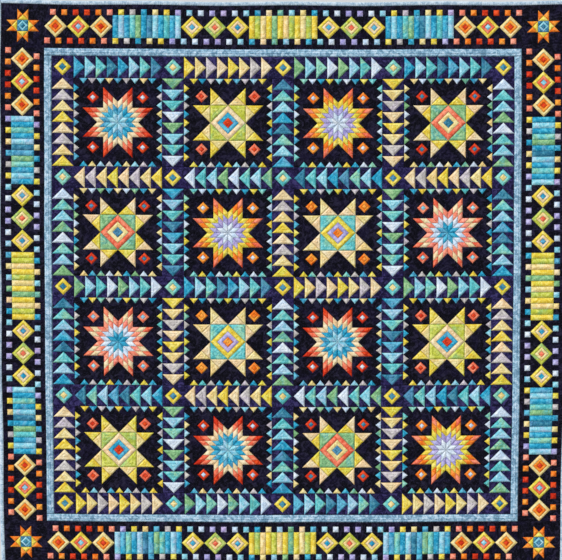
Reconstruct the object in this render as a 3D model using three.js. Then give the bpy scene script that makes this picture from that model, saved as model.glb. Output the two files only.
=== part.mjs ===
// A pieced and quilted cotton bed quilt, lying flat with its back down. The pieced field has star
// blocks in a straight set, parted by strips of flying geese with cornerstones where they cross.
// Round it go a narrow pale border, a wide pieced border with corner blocks, and a binding.
// Millimetres, +Z up, the quilt's top edge towards +Y, the origin under its middle.
import * as THREE from "three";

// Driving dimensions: the finished pieces, from seam to seam.
const BLOCK = 305; // side of a star block, 12 inches
const BLOCKS = 4; // blocks along each side of the field
const GEESE = 8; // geese in a sashing strip as long as a block
const STAR = 244; // side of the square that a block's star just fits
const NARROW = 26; // width of the narrow pale border
const WIDE = 150; // width of the wide outer border
const BINDING = 13; // width of the binding on the face

// Thickness of the quilted layers.
const FLAT = 3.6; // at a seam and all over the closely quilted ground
const PUFF = 6.4; // a star, goose or rail that puffs up between its seams
const SLOPE = 6; // width over which a puff rises from its seam
const SMALL = 170; // a puff with less than this round it rises to a point instead
const NARROW_PUFF = 5.4; // the narrow border between its seams
const SEWN = 4.2; // the binding where it is sewn down
const ROLLED = 6; // the binding where it is folded round the edge
const FOLD_SLOPE = 2; // width over which the binding rises from its seam
const ARC_FLATS = 3; // flats of the binding's half round edge
const GAP = 0.3; // between neighbouring pieces

// Motifs of the blocks and the wide border.
const ACCENT = 30; // side of the small square on point in a star's corner
const STONE = 42; // side of the square on point in a cornerstone
const UNITS = 21; // square units along the wide border
const GROUP = 3; // units of one kind before the other kind follows
const CHECKS = 4; // checks along a unit, every other one raised, and rails across one
const CORNER_STAR = 114; // side of the star in a corner block

// How unevenly the quilt lies: its sides bow out, its middle sags, its edges ripple.
const BOW = 6;
const SAG = 6;
const RIPPLE = 1.5;
const RIPPLE_PITCH = 500;
const RIPPLE_STARTS = { top: 1.2, left: 2.1, bottom: 0, right: 0.6 }; // in radians, no two sides alike
const RIM_POWER = 6; // how closely the ripple keeps to the edge
const STEP = 102; // longest straight stretch of a curved edge
const FINENESS = 1000; // points that agree to a thousandth of a millimetre are one point

// Sizes that follow.
const SASH = (2 * BLOCK) / GEESE; // a goose is twice as wide as it is high
const PITCH = BLOCK + SASH;
const FIELD = BLOCKS * PITCH + SASH;
const INNER = FIELD + 2 * NARROW; // side of the square inside the wide border
const OUTER = INNER + 2 * WIDE; // side of the square inside the binding
const HALF = OUTER / 2 + BINDING;
const UNIT = INNER / UNITS;
const CHECK = UNIT / CHECKS; // side of a check in the rows on each side of the units
const FIRST = -FIELD / 2 + SASH + BLOCK / 2; // middle of the first row or column of blocks

// The ground cloth of each kind of piece.
const cotton = (color) => new THREE.MeshStandardMaterial({ color, roughness: 0.85, metalness: 0 });
const COTTONS = {
  block: cotton(0x15121e),
  sashing: cotton(0x28244a),
  narrowBorder: cotton(0x9cbbcf),
  wideBorder: cotton(0x16131f),
  corner: cotton(0x17141f),
  binding: cotton(0xb4cadc),
};

// Where a point of the flat pattern lies on the uneven quilt.
function lie(x, y) {
  const u = x / HALF;
  const v = y / HALF;
  const turns = 2 * Math.PI / RIPPLE_PITCH;
  const ripple = (along, side) => RIPPLE * Math.sin(turns * along + RIPPLE_STARTS[side]);
  return [
    x + BOW * u * (1 - v * v) + ripple(y, u > 0 ? "right" : "left") * Math.abs(u) ** RIM_POWER,
    y + SAG * (u * u - 0.5) + ripple(x, v > 0 ? "top" : "bottom") * Math.abs(v) ** RIM_POWER,
  ];
}

// Patches: convex polygons with counterclockwise corners. A raised one puffs up to PUFF.
const raised = (...corners) => ({ corners, raised: true });
const ground = (...corners) => ({ corners, raised: false });
const box = (x0, y0, x1, y1) => [[x0, y0], [x1, y0], [x1, y1], [x0, y1]];
const turn = ([x, y], quarters) => [[x, y], [-y, x], [-x, -y], [y, -x]][quarters];
const turned = (patches, quarters) =>
  patches.map((p) => ({ ...p, corners: p.corners.map((c) => turn(c, quarters)) }));
const moved = (patches, dx, dy) =>
  patches.map((p) => ({ ...p, corners: p.corners.map(([x, y]) => [x + dx, y + dy]) }));
const fourTimes = (patches) => [0, 1, 2, 3].flatMap((quarters) => turned(patches, quarters));

// A ground square with a raised square on point in it, both centred on the origin.
function squareOnPoint(side, inner) {
  const h = side / 2;
  const tip = inner / Math.SQRT2;
  if (tip > h - 1 / FINENESS) {
    return [raised([h, 0], [0, h], [-h, 0], [0, -h]), ...fourTimes([ground([h, 0], [h, h], [0, h])])];
  }
  return [
    raised([tip, 0], [0, tip], [-tip, 0], [0, -tip]),
    ...fourTimes([ground([tip, 0], [h, -h], [h, h]), ground([tip, 0], [h, h], [0, tip])]),
  ];
}

// The ground strips that fill a square of one side out to a larger one.
function surround(inner, outer) {
  const a = inner / 2;
  const b = outer / 2;
  return fourTimes([ground([a, -a], [b, -b], [b, b], [a, a])]);
}

// Eight diamonds of 45 degrees round a point, with squares and triangles between their tips.
function diamondStar() {
  const side = STAR / (2 + Math.SQRT2);
  const reach = STAR / 2;
  const ray = (k) => [side * Math.cos((k * Math.PI) / 4), side * Math.sin((k * Math.PI) / 4)];
  const diamonds = Array.from({ length: 8 }, (_, k) => {
    const [a, b] = [ray(k), ray(k + 1)];
    return raised([0, 0], a, [a[0] + b[0], a[1] + b[1]], b);
  });
  const corner = reach - side / 2;
  return [
    ...diamonds,
    ...fourTimes([
      ground([side, 0], [reach, side - reach], [reach, reach - side]),
      ...moved(squareOnPoint(side, ACCENT), corner, corner),
    ]),
    ...surround(STAR, BLOCK),
  ];
}

// A square on point inside a square, with two saw teeth on each side of it.
function sawtoothStar() {
  const unit = STAR / 4;
  const reach = STAR / 2;
  const centre = squareOnPoint(2 * unit, unit * Math.SQRT2).map((p) => ({ ...p, raised: true }));
  return [
    ...centre,
    ...fourTimes([
      raised([unit, -unit], [reach, -unit], [unit, 0]),
      raised([unit, 0], [reach, unit], [unit, unit]),
      ground([unit, 0], [reach, -unit], [reach, unit]),
      ...moved(squareOnPoint(unit, ACCENT), reach - unit / 2, reach - unit / 2),
    ]),
    ...surround(STAR, BLOCK),
  ];
}

// Geese flying towards +X along a strip as long as a block.
function flyingGeese() {
  const high = BLOCK / GEESE;
  const wing = SASH / 2;
  return Array.from({ length: GEESE }, (_, i) => {
    const x = i * high - BLOCK / 2;
    return [
      raised([x, -wing], [x + high, 0], [x, wing]),
      ground([x, -wing], [x + high, -wing], [x + high, 0]),
      ground([x + high, 0], [x + high, wing], [x, wing]),
    ];
  }).flat();
}

// A whole row of sashing: cornerstones with geese between them, all flying one way.
function sashRow(quarters) {
  const stones = Array.from({ length: BLOCKS + 1 }, (_, i) =>
    moved(squareOnPoint(SASH, STONE), FIRST - PITCH / 2 + i * PITCH, 0),
  );
  const geese = turned(flyingGeese(), quarters);
  const strips = Array.from({ length: BLOCKS }, (_, i) => moved(geese, FIRST + i * PITCH, 0));
  return [...stones, ...strips].flat();
}

// The first kind of unit along the wide border: a square on point.
function pointedUnit() {
  return squareOnPoint(UNIT, UNIT / Math.SQRT2);
}

// The second kind: upright rails.
function railUnit() {
  const left = (i) => i * CHECK - UNIT / 2;
  return Array.from({ length: CHECKS }, (_, i) => raised(...box(left(i), -UNIT / 2, left(i + 1), UNIT / 2)));
}

// The row of checks below a unit and the one above it, half a turn round.
function checks() {
  const corner = -UNIT / 2;
  const row = Array.from({ length: CHECKS }, (_, i) => {
    const square = box(corner + i * CHECK, corner - CHECK, corner + (i + 1) * CHECK, corner);
    return i % 2 ? ground(...square) : raised(...square);
  });
  return [...row, ...turned(row, 2)];
}

function wideBorder() {
  const edge = WIDE / 2;
  const high = UNIT / 2 + CHECK;
  return Array.from({ length: UNITS }, (_, i) => {
    const x = (i + 0.5) * UNIT - INNER / 2;
    const unit = Math.floor(i / GROUP) % 2 ? railUnit() : pointedUnit();
    return [
      ...moved([...unit, ...checks()], x, 0),
      ground(...box(x - UNIT / 2, high, x + UNIT / 2, edge)),
      ground(...box(x - UNIT / 2, -edge, x + UNIT / 2, -high)),
    ];
  }).flat();
}

// A nine-square star: a centre square, and a pair of points on each side of it.
function cornerStar() {
  const unit = CORNER_STAR / 3;
  const near = unit / 2;
  const far = near + unit;
  return [
    raised(...box(-near, -near, near, near)),
    ...fourTimes([
      raised([near, -near], [unit, 0], [near, near]),
      raised([near, -near], [far, -near], [unit, 0]),
      raised([near, near], [unit, 0], [far, near]),
      ground([far, -near], [far, near], [unit, 0]),
      ground(...box(near, near, far, far)),
    ]),
    ...surround(CORNER_STAR, WIDE),
  ];
}

// The corners of a convex polygon, moved in from its sides.
function inset(corners, by) {
  const n = corners.length;
  const sides = corners.map(([x, y], i) => {
    const [nextX, nextY] = corners[(i + 1) % n];
    const length = Math.hypot(nextX - x, nextY - y);
    const dx = (nextX - x) / length;
    const dy = (nextY - y) / length;
    return { x: x - dy * by, y: y + dx * by, dx, dy };
  });
  return sides.map((b, i) => {
    const a = sides[(i + n - 1) % n];
    const t = ((b.x - a.x) * b.dy - (b.y - a.y) * b.dx) / (a.dx * b.dy - a.dy * b.dx);
    return [a.x + a.dx * t, a.y + a.dy * t];
  });
}

const keyOf = (values) => values.map((value) => Math.round(value * FINENESS)).join();
const sum = (values) => values.reduce((total, value) => total + value, 0);
const mean = (values) => sum(values) / values.length;
const middleOf = (polygon) => [0, 1].map((axis) => mean(polygon.map((corner) => corner[axis])));
const girthOf = (polygon) => {
  const before = (i) => polygon.at(i - 1);
  return sum(polygon.map(([x, y], i) => Math.hypot(x - before(i)[0], y - before(i)[1])));
};

// A straight line as points no more than STEP apart, without its last point.
function steps([x0, y0], [x1, y1]) {
  const count = Math.ceil(Math.hypot(x1 - x0, y1 - y0) / STEP);
  const point = (i) => [x0 + ((x1 - x0) * i) / count, y0 + ((y1 - y0) * i) / count];
  return Array.from({ length: count }, (_, i) => point(i));
}

// A patch's outline side by side, with every corner of its neighbours that lies on one of its sides,
// and with the piece's own edge in short steps, as its neighbour has it.
function outline(corners, all, onEdge) {
  const hair = 1 / FINENESS;
  return corners.map((p, i) => {
    const q = corners[(i + 1) % corners.length];
    const dx = q[0] - p[0];
    const dy = q[1] - p[1];
    const length = Math.hypot(dx, dy);
    const on = all
      .map(([x, y]) => ({
        point: [x, y],
        along: ((x - p[0]) * dx + (y - p[1]) * dy) / length,
        off: Math.abs((x - p[0]) * dy - (y - p[1]) * dx) / length,
      }))
      .filter((c) => c.off < hair && c.along > hair && c.along < length - hair)
      .sort((a, b) => a.along - b.along);
    const stops = [p, ...on.map((c) => c.point), q];
    if (!onEdge(p, q)) return stops;
    return [...stops.slice(1).flatMap((stop, j) => steps(stops[j], stop)), q];
  });
}

// The faces of one quilted piece. Points are given on the flat pattern, from the piece's middle, and are
// laid on the uneven quilt. Each is added once, so that the faces that meet there share it.
class Faces {
  constructor(wide, deep, centre, quarters) {
    this.shrink = [(wide - GAP) / wide, (deep - GAP) / deep];
    this.centre = centre;
    this.quarters = quarters;
    this.points = [];
    this.index = [];
    this.known = new Map();
  }

  vertex([x, y], z) {
    const key = keyOf([x, y, z]);
    if (!this.known.has(key)) {
      const [px, py] = turn([x * this.shrink[0], y * this.shrink[1]], this.quarters);
      const [lx, ly] = lie(px + this.centre[0], py + this.centre[1]);
      this.known.set(key, this.points.length / 3);
      this.points.push(lx - this.centre[0], ly - this.centre[1], z);
    }
    return this.known.get(key);
  }

  // A triangle, from its vertices' numbers.
  triangle(a, b, c) {
    this.index.push(a, b, c);
  }

  // A flat convex polygon, fanned out from its first corner.
  fan(polygon, z) {
    const [first, ...rest] = polygon.map((corner) => this.vertex(corner, z));
    rest.slice(1).forEach((vertex, i) => this.triangle(first, rest[i], vertex));
  }

  // Triangles from every stretch of an outline up to one point.
  cone(sides, tip, z) {
    for (const side of sides) {
      side.slice(1).forEach((end, j) => {
        this.triangle(this.vertex(side[j], FLAT), this.vertex(end, FLAT), this.vertex(tip, z));
      });
    }
  }
}

// A flat patch, fanned out from a corner with no other corner on its two sides, or else from its middle.
function levelPatch(faces, corners, sides) {
  const clear = (i) => sides.at(i - 1).length === 2 && sides[i].length === 2;
  const apex = corners.findIndex((_, i) => clear(i));
  if (apex < 0) {
    faces.cone(sides, middleOf(corners), FLAT);
    return;
  }
  const around = [...sides.slice(apex), ...sides.slice(0, apex)];
  faces.fan(around.flatMap((side) => side.slice(0, -1)), FLAT);
}

// A patch that puffs up to a level top, moved in from its sides.
function puffedPatch(faces, corners, sides) {
  const top = inset(corners, SLOPE);
  sides.forEach((side, i) => {
    const next = (i + 1) % corners.length;
    const split = Math.floor(side.length / 2);
    faces.cone([side.slice(0, split + 1)], top[i], PUFF);
    faces.cone([side.slice(split)], top[next], PUFF);
    const foot = faces.vertex(side[split], FLAT);
    faces.triangle(foot, faces.vertex(top[next], PUFF), faces.vertex(top[i], PUFF));
  });
  faces.fan(top, PUFF);
}

// The walls and the flat back below a piece's face, from the stretches of outline that no two patches share.
function closeBelow(faces, stretches) {
  const numbered = stretches.map(([p, q]) => [faces.vertex(p, FLAT), faces.vertex(q, FLAT), p, q]);
  const directed = new Set(numbered.map(([a, b]) => `${a},${b}`));
  const back = faces.vertex([0, 0], 0);
  for (const [a, b, p, q] of numbered.filter((stretch) => !directed.has(`${stretch[1]},${stretch[0]}`))) {
    const low = faces.vertex(p, 0);
    const next = faces.vertex(q, 0);
    faces.triangle(b, a, low);
    faces.triangle(b, low, next);
    faces.triangle(next, low, back);
  }
}

// One closed solid from the patches of a piece that is wide by deep: a puffed face, its walls, a flat back.
function quilted(name, material, patches, wide, deep, centre, quarters = 0) {
  const faces = new Faces(wide, deep, centre, quarters);
  const everyCorner = patches.flatMap((patch) => patch.corners);
  const distinct = new Map(everyCorner.map((corner) => [keyOf(corner), corner]));
  const half = [wide / 2, deep / 2];
  const reaches = (corner, axis) => Math.abs(Math.abs(corner[axis]) - half[axis]) < 1 / FINENESS;
  const onEdge = (p, q) => [0, 1].some((axis) => reaches(p, axis) && reaches(q, axis));
  const stretches = [];
  for (const { corners, raised: puffs } of patches) {
    const sides = outline(corners, [...distinct.values()], onEdge);
    if (!puffs) levelPatch(faces, corners, sides);
    else if (girthOf(corners) > SMALL) puffedPatch(faces, corners, sides);
    else faces.cone(sides, middleOf(corners), PUFF);
    stretches.push(...sides.flatMap((side) => side.slice(1).map((end, j) => [side[j], end])));
  }
  closeBelow(faces, stretches);
  return solid(name, material, faces.points, faces.index, centre);
}

function solid(name, material, points, index, centre) {
  const geometry = new THREE.BufferGeometry();
  geometry.setAttribute("position", new THREE.Float32BufferAttribute(points, 3));
  geometry.setIndex(index);
  geometry.computeVertexNormals();
  const mesh = new THREE.Mesh(geometry, material);
  mesh.name = name;
  mesh.position.set(centre[0], centre[1], 0);
  return mesh;
}

// A closed strip swept along +X and then turned. The section runs clockwise seen from +X, as
// [distance out from the quilt's middle, height], and mitre is how much longer the strip gets as it goes out.
function strip(name, material, section, halfLength, mitre, quarters) {
  const stations = Math.ceil((2 * HALF) / STEP);
  const points = [];
  const index = [];
  const n = section.length;
  for (let i = 0; i <= stations; i++) {
    for (const [out, z] of section) {
      const half = halfLength + mitre * out;
      const [px, py] = turn([half * (1 - (2 * i) / stations), out], quarters);
      points.push(...lie(px, py), z);
    }
  }
  for (let i = 0; i < stations; i++) {
    for (let j = 0; j < n; j++) {
      const a = i * n + j;
      const b = i * n + ((j + 1) % n);
      index.push(a, b, b + n, a, b + n, a + n);
    }
  }
  for (let j = 1; j + 1 < n; j++) {
    index.push(0, j + 1, j);
    index.push(stations * n, stations * n + j, stations * n + j + 1);
  }
  return solid(name, material, points, index, [0, 0]);
}

// The narrow border's section: a strip that puffs up between its two seams.
function narrowSection() {
  const inside = FIELD / 2 + GAP / 2;
  const outside = INNER / 2 - GAP / 2;
  return [
    [inside, 0],
    [inside, FLAT],
    [inside + SLOPE, NARROW_PUFF],
    [outside - SLOPE, NARROW_PUFF],
    [outside, FLAT],
    [outside, 0],
  ];
}

// The binding's section: a folded strip round the raw edge, a half round outside.
function bindingSection() {
  const inside = OUTER / 2 + GAP / 2;
  const radius = ROLLED / 2;
  const arc = Array.from({ length: ARC_FLATS + 1 }, (_, i) => {
    const angle = Math.PI / 2 - (i * Math.PI) / ARC_FLATS;
    return [HALF - radius + radius * Math.cos(angle), radius + radius * Math.sin(angle)];
  });
  return [[inside, 0], [inside, SEWN], [inside + FOLD_SLOPE, ROLLED], ...arc];
}

const quilt = new THREE.Group();
quilt.name = "star_quilt";
const SIDES = ["top", "left", "bottom", "right"]; // each a quarter turn on from the one before

for (let row = 0; row < BLOCKS; row++) {
  const y = -(FIRST + row * PITCH);
  for (let column = 0; column < BLOCKS; column++) {
    const star = (row + column) % 2 ? sawtoothStar() : diamondStar();
    const at = [FIRST + column * PITCH, y];
    quilt.add(quilted(`star_block_r${row + 1}c${column + 1}`, COTTONS.block, star, BLOCK, BLOCK, at));
  }
  for (let column = 0; column <= BLOCKS; column++) {
    const name = `sash_r${row + 1}_${column + 1}`;
    const at = [FIRST - PITCH / 2 + column * PITCH, y];
    const quarters = column % 2 ? 3 : 1;
    quilt.add(quilted(name, COTTONS.sashing, flyingGeese(), BLOCK, SASH, at, quarters));
  }
}
for (let row = 0; row <= BLOCKS; row++) {
  const at = [0, -(FIRST - PITCH / 2 + row * PITCH)];
  quilt.add(quilted(`sash_row_${row + 1}`, COTTONS.sashing, sashRow(row % 2 ? 2 : 0), FIELD, SASH, at));
}

SIDES.forEach((side, quarters) => {
  const upright = quarters % 2;
  const halfNarrow = (upright ? FIELD - GAP : INNER - GAP) / 2;
  const borderAt = turn([0, (INNER + WIDE) / 2], quarters);
  const cornerAt = turn([-(INNER + WIDE) / 2, (INNER + WIDE) / 2], quarters);
  quilt.add(
    strip(`narrow_border_${side}`, COTTONS.narrowBorder, narrowSection(), halfNarrow, 0, quarters),
    quilted(`wide_border_${side}`, COTTONS.wideBorder, wideBorder(), INNER, WIDE, borderAt, quarters),
    quilted(`corner_block_${quarters + 1}`, COTTONS.corner, cornerStar(), WIDE, WIDE, cornerAt, quarters),
    strip(`binding_${side}`, COTTONS.binding, bindingSection(), -GAP, 1, quarters),
  );
});

export default quilt;
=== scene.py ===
"""The looks of a pieced and quilted star quilt, dressed over its fixed frame.

Each CAD node gets one piece of quilted cloth with the same outline and puffs. The pattern is drawn flat,
in millimetres, as convex patches. It is then meshed so that every seam is an edge, puffed up between the
seams, and laid as unevenly as the frame is. Everything in Blender itself is in metres.
"""

import itertools
import math
from dataclasses import dataclass

import bpy
import numpy as np
from mathutils import Euler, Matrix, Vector
from mathutils.geometry import delaunay_2d_cdt


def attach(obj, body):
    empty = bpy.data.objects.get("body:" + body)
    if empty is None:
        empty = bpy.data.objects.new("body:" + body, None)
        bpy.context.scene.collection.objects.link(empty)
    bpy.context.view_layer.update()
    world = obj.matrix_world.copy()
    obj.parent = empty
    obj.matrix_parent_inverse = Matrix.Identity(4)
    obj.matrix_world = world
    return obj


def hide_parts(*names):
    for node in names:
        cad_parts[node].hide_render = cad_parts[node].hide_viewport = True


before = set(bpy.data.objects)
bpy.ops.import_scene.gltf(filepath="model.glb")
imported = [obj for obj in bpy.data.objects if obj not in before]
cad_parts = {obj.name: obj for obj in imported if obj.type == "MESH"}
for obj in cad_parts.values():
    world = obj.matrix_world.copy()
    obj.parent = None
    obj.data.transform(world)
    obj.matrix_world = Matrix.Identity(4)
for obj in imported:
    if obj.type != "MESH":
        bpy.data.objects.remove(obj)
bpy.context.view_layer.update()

MM = 0.001

# Driving dimensions of the quilt, in millimetres, as the frame has them
BLOCK = 305.0
BLOCKS = 4
GEESE = 8  # flying geese along a block
STAR = 244.0  # side of the square that a star fills
NARROW = 26.0
WIDE = 150.0
BINDING = 13.0  # what the binding covers of the face
FLAT = 3.6  # height at the seams
PUFF = 6.4  # height of a puff
UNITS = 21  # units along the wide border
GROUP = 3  # units of one kind side by side
CHECKS = 4  # checks along a unit, every other one raised, and rails across one
ACCENT = 30.0  # side of the square on point at a star's corner
STONE = 42.0  # and in a cornerstone
CORNER_STAR = 114.0
BOW = 6.0  # how far the sides bow out at their middles
SAG = 6.0  # how far the top and bottom edges sag
RIPPLE = 1.5
RIPPLE_PITCH = 500.0
RIPPLE_PHASES = {"top": 1.2, "left": 2.1, "bottom": 0.0, "right": 0.6}
RIM_POWER = 6  # how fast the ripples die away from the edge

SASH = 2 * BLOCK / GEESE
PITCH = BLOCK + SASH
FIELD = BLOCKS * PITCH + SASH
INNER = FIELD + 2 * NARROW
OUTER = INNER + 2 * WIDE
HALF = OUTER / 2 + BINDING
UNIT = INNER / UNITS
CHECK = UNIT / CHECKS
FIRST = -FIELD / 2 + SASH + BLOCK / 2
SIDES = ("top", "left", "bottom", "right")

# The finer piecing and sewing that only shows here
DIAMONDS = 3  # small diamonds along the side of a star's big one
TEETH = 9  # teeth along each side of a block
TOOTH = 19.0  # their height
ACCENT_DOT = 9.0  # half diagonal of the dot in an accent
STONE_DOT = 13.0  # and in a cornerstone
RING_SHARE = 0.62  # a nested square's half diagonal to the outermost one's
STAR_DOT_SHARE = 0.3
UNIT_DOT_SHARE = 0.28
CORNER_DOT_SHARE = 0.5
SEAM_GAP = 0.04  # between neighbouring pieces
PILLOW = 10.0  # width over which a puff rises from its seam
FULLNESS = 0.4  # height over PUFF, where no seam sinks
DIP = 0.8  # how deep a seam inside a puff sinks
DIP_WIDTH = 3.5
GROUND_RISE = 0.6
ECHO = 10.0  # between quilting lines that echo a seam
ACROSS = 10.5  # between those across the wide border
ACROSS_SWAY = 2.4  # how far those lines sway
ACROSS_PITCH = 38.0  # from one sway to the next
ACROSS_SHIFT = 60.0  # length that puts the sways a radian out of step

# The fine unevenness of washed cotton: its height, and waves of several lengths
CRINKLE = 0.16
CRINKLE_WAVES = ((61.0, 1.0), (37.0, 0.8), (23.0, 0.6), (14.0, 0.5))  # length and weight of each
CRINKLE_START = 0.9  # which way the first one runs, in radians
CRINKLE_TURN = 2.4  # from one to the next
CRINKLE_BEND = 0.35  # how far a wave bends, in its own length
CRINKLE_BEND_PITCH = 1.7  # and from bend to bend
LEAST_CRINKLE = 0.25  # what is left of it in the seams

# The binding rises from its seam by these steps: out, up from FLAT, and place across the strip
BINDING_RISE = ((0.0, -0.4, 0.0), (0.5, 0.8, 1.0), (1.4, 1.7, 2.0), (3.0, 2.15, 4.0))
BINDING_THICK = PUFF - 0.4
BINDING_TOP = 3.0  # from its flat top to where it rounds the edge
BINDING_ARC = 8  # steps round the edge
BINDING_ARC_PLACE = 11.0
BINDING_LINE = 2.0  # place of the shadow along its seam
BINDING_SHADOW = 40.0  # as if quilting lines lay this far apart
BINDING_TONE = 0.29
BINDING_TONE_STEP = 0.13
PUCKER = 0.16  # height of the binding's puckers
PUCKER_WAVES = ((2.1, 1.3, 17.0, 1.0), (5.3, 2.0, 31.0, 0.7))  # length, unevenness, its length, weight

# The mesh
CELL = 4.6  # side of a triangle
FIRST_ROUND = 1.6  # from a seam to the first round of points inside it
ROUND_STEP = 4.0  # between one round and the next, about
UNCUT_ROOM = 0.35 * CELL  # from a round's end to a side that isn't cut
GROUND_ROOM = 0.55 * CELL  # from a seam to the even mesh of the ground
DEEPEST = 100.0  # more than the middle of any patch lies inside it
MIDDLE_STEPS = (2.0, 1.0, 1.0, 0.5, 0.5, 0.25)  # of the search for the middle of a patch
FORWARD = (1.0, 0.01)  # the way that seams are measured, upright ones too
SAME = 1e-3  # how near two places count as one
MERGED = 1e-4  # how near the triangulation makes them one
SLIVER = 1e-3  # area of a triangle that is left out
SLACK = 1e-6  # too little room to count
SEARCHED = 1e-7  # how closely a depth is found
LEVEL = 1e-9  # the slope between sides that count as parallel
GOLDEN = 0.61803399  # its multiples spread evenly between 0 and 1
BACK_FIELD = 0.5  # what the materials read on the walls and the back

# The weave, print and sewing in the materials, and the painted shade in the quilting lines' grooves and the
# seams' ditches
CUT_SHIFT = (7.1, 3.7)  # how far a tone of 1 shifts the print, in metres
# How much painted shade darkens the grooves of the quilting lines and the ditches of the seams, and how
# wide the ditch's painted shade is, in millimetres
GROOVE_SHADE = 0.16
DITCH_SHADE = 0.3
DITCH_WIDTH = 1.5
STITCH = 2.6  # from one stitch to the next, in millimetres
STITCH_SHARE = 0.62  # how much of that is thread
CRINKLE_RELIEF = 0.0025  # in metres, like the next three
BILLOW_RELIEF = 0.0015
PUCKER_RELIEF = 0.00028
WEAVE_RELIEF = 0.00002
PUCKER_TURN = 0.95  # radians a millimetre, along a line
PUCKER_SWAY = 9.0  # radians by which the puckers are uneven
WEAVE = 520.0  # scale of its waves

# The studio: metres, degrees and colours out of 255
FLOOR_SIDE = 40.0
FLOOR_DROP = 0.0005
FLOOR_PAINT = (206, 206, 204)
LIGHT_TURN = (-34.0, -37.0, 0.0)
LIGHT_ANGLE = 12.0
CAMERA_PLACE = (-0.015, 0.1457, 3.6)
CAMERA_TURN = (-1.94, -0.131, 0.077)


@dataclass
class Patch:
    """A convex patch: its corners run counterclockwise. Patches of one region are cut in one piece, and
    patches of one group puff up together. The ground has no group."""

    corners: list
    cloth: str
    region: object
    group: object


fresh = itertools.count(1)


def raised(cloth, *corners, region=None, group=None):
    key = next(fresh)
    return Patch(list(corners), cloth, region or key, group or region or key)


def ground(cloth, *corners):
    return Patch(list(corners), cloth, cloth, None)


def box(x0, y0, x1, y1):
    return [(x0, y0), (x1, y0), (x1, y1), (x0, y1)]


def turn(point, quarters):
    x, y = point
    return [(x, y), (-y, x), (-x, -y), (y, -x)][quarters % 4]


def placed(patches, dx=0.0, dy=0.0, quarters=0):
    """A turned and shifted copy, with regions and groups of its own."""
    keys = {}

    def renewed(key):
        return keys.setdefault(key, next(fresh)) if isinstance(key, int) else key

    copies = []
    for patch in patches:
        corners = [turn(corner, quarters) for corner in patch.corners]
        corners = [(x + dx, y + dy) for x, y in corners]
        copies.append(Patch(corners, patch.cloth, renewed(patch.region), renewed(patch.group)))
    return copies


def four_times(patches):
    return [patch for quarters in range(4) for patch in placed(patches, quarters=quarters)]


def nested(rings):
    """Squares on point inside each other, from (half diagonal, cloth) pairs, the outermost first."""
    group = next(fresh)
    patches = []
    for (tip, cloth), (inner, _) in zip(rings, rings[1:]):
        region = next(fresh)
        for quarters in range(4):
            quad = [turn(point, quarters) for point in ((tip, 0), (0, tip), (0, inner), (inner, 0))]
            patches.append(raised(cloth, *quad, region=region, group=group))
    tip, cloth = rings[-1]
    patches.append(raised(cloth, (tip, 0), (0, tip), (-tip, 0), (0, -tip), group=group))
    return patches


def square_on_point(side, rings, cloth):
    """Nested squares on point in a ground square."""
    h = side / 2
    tip = rings[0][0]
    if tip > h - SLACK:
        return nested(rings) + four_times([ground(cloth, (h, 0), (h, h), (0, h))])
    corners = [ground(cloth, (tip, 0), (h, -h), (h, h)), ground(cloth, (tip, 0), (h, h), (0, tip))]
    return nested(rings) + four_times(corners)


def accent_square(side, cloth, dot):
    return square_on_point(side, [(ACCENT / math.sqrt(2), cloth), (ACCENT_DOT, dot)], "black")


def toothed_frame(cloths):
    """The strip round a star: plain ground, and a row of small teeth along each side of the block."""
    a = STAR / 2
    b = BLOCK / 2
    tips = b - TOOTH
    step = 2 * tips / TEETH
    side = [ground("black", (a, -a), (tips, -tips), (tips, tips), (a, a))]
    for i in range(TEETH):
        low = -tips + i * step
        side.append(raised(cloths[i % len(cloths)], (b, low), (b, low + step), (tips, low + step / 2)))
        if i:
            side.append(ground("black", (tips, low - step / 2), (b, low), (tips, low + step / 2)))
    side.append(ground("black", (tips, -tips), (b, -tips), (tips, -tips + step / 2)))
    side.append(ground("black", (tips, tips - step / 2), (b, tips), (tips, tips)))
    side.append(ground("black", *box(tips, tips, b, b)))
    return four_times(side)


def diamond_star(colours):
    side = STAR / (2 + math.sqrt(2))
    reach = STAR / 2
    patches = []

    def ray(k):
        return np.array([math.cos(k * math.pi / 4), math.sin(k * math.pi / 4)]) * side

    for k in range(8):
        a = ray(k) / DIAMONDS
        b = ray(k + 1) / DIAMONDS
        group = next(fresh)
        for i, j in itertools.product(range(DIAMONDS), repeat=2):
            start = i * a + j * b
            corners = [tuple(start + di * a + dj * b) for di, dj in ((0, 0), (1, 0), (1, 1), (0, 1))]
            patches.append(raised(colours["rows"][i + j], *corners, group=group))
    corner = reach - side / 2
    accent = accent_square(side, colours["ring"], colours["dot"])
    quarter = [ground("black", (side, 0), (reach, side - reach), (reach, reach - side))]
    patches += four_times(quarter + placed(accent, corner, corner))
    return patches + toothed_frame(colours["teeth"])


def sawtooth_star(colours):
    unit = STAR / 4
    reach = STAR / 2
    low, high = colours["points"]
    inner = (unit * RING_SHARE, colours["inner"])
    dot = (unit * STAR_DOT_SHARE, colours["dot"])
    patches = nested([(unit, colours["ring"]), inner, dot])
    half = unit / 2
    quarter = [
        raised(colours["corners"], (unit, 0), (unit, unit), (0, unit)),
        raised(low, (unit, -unit), (reach, -unit), (unit + half, -half)),
        raised(high, (unit, -unit), (unit + half, -half), (unit, 0)),
        raised(high, (unit, 0), (unit + half, half), (unit, unit)),
        raised(low, (unit + half, half), (reach, unit), (unit, unit)),
        ground("black", (unit, 0), (reach, -unit), (reach, unit)),
    ]
    accent = accent_square(unit, colours["accent"], colours["dot"])
    patches += four_times(quarter + placed(accent, reach - half, reach - half))
    return patches + toothed_frame(colours["teeth"])


def flying_geese(cloths):
    high = BLOCK / GEESE
    wing = SASH / 2
    patches = []
    for i in range(GEESE):
        x = i * high - BLOCK / 2
        patches.append(raised(cloths[i % len(cloths)], (x, -wing), (x + high, 0), (x, wing)))
        patches.append(ground("navy", (x, -wing), (x + high, -wing), (x + high, 0)))
        patches.append(ground("navy", (x + high, 0), (x + high, wing), (x, wing)))
    return patches


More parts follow.
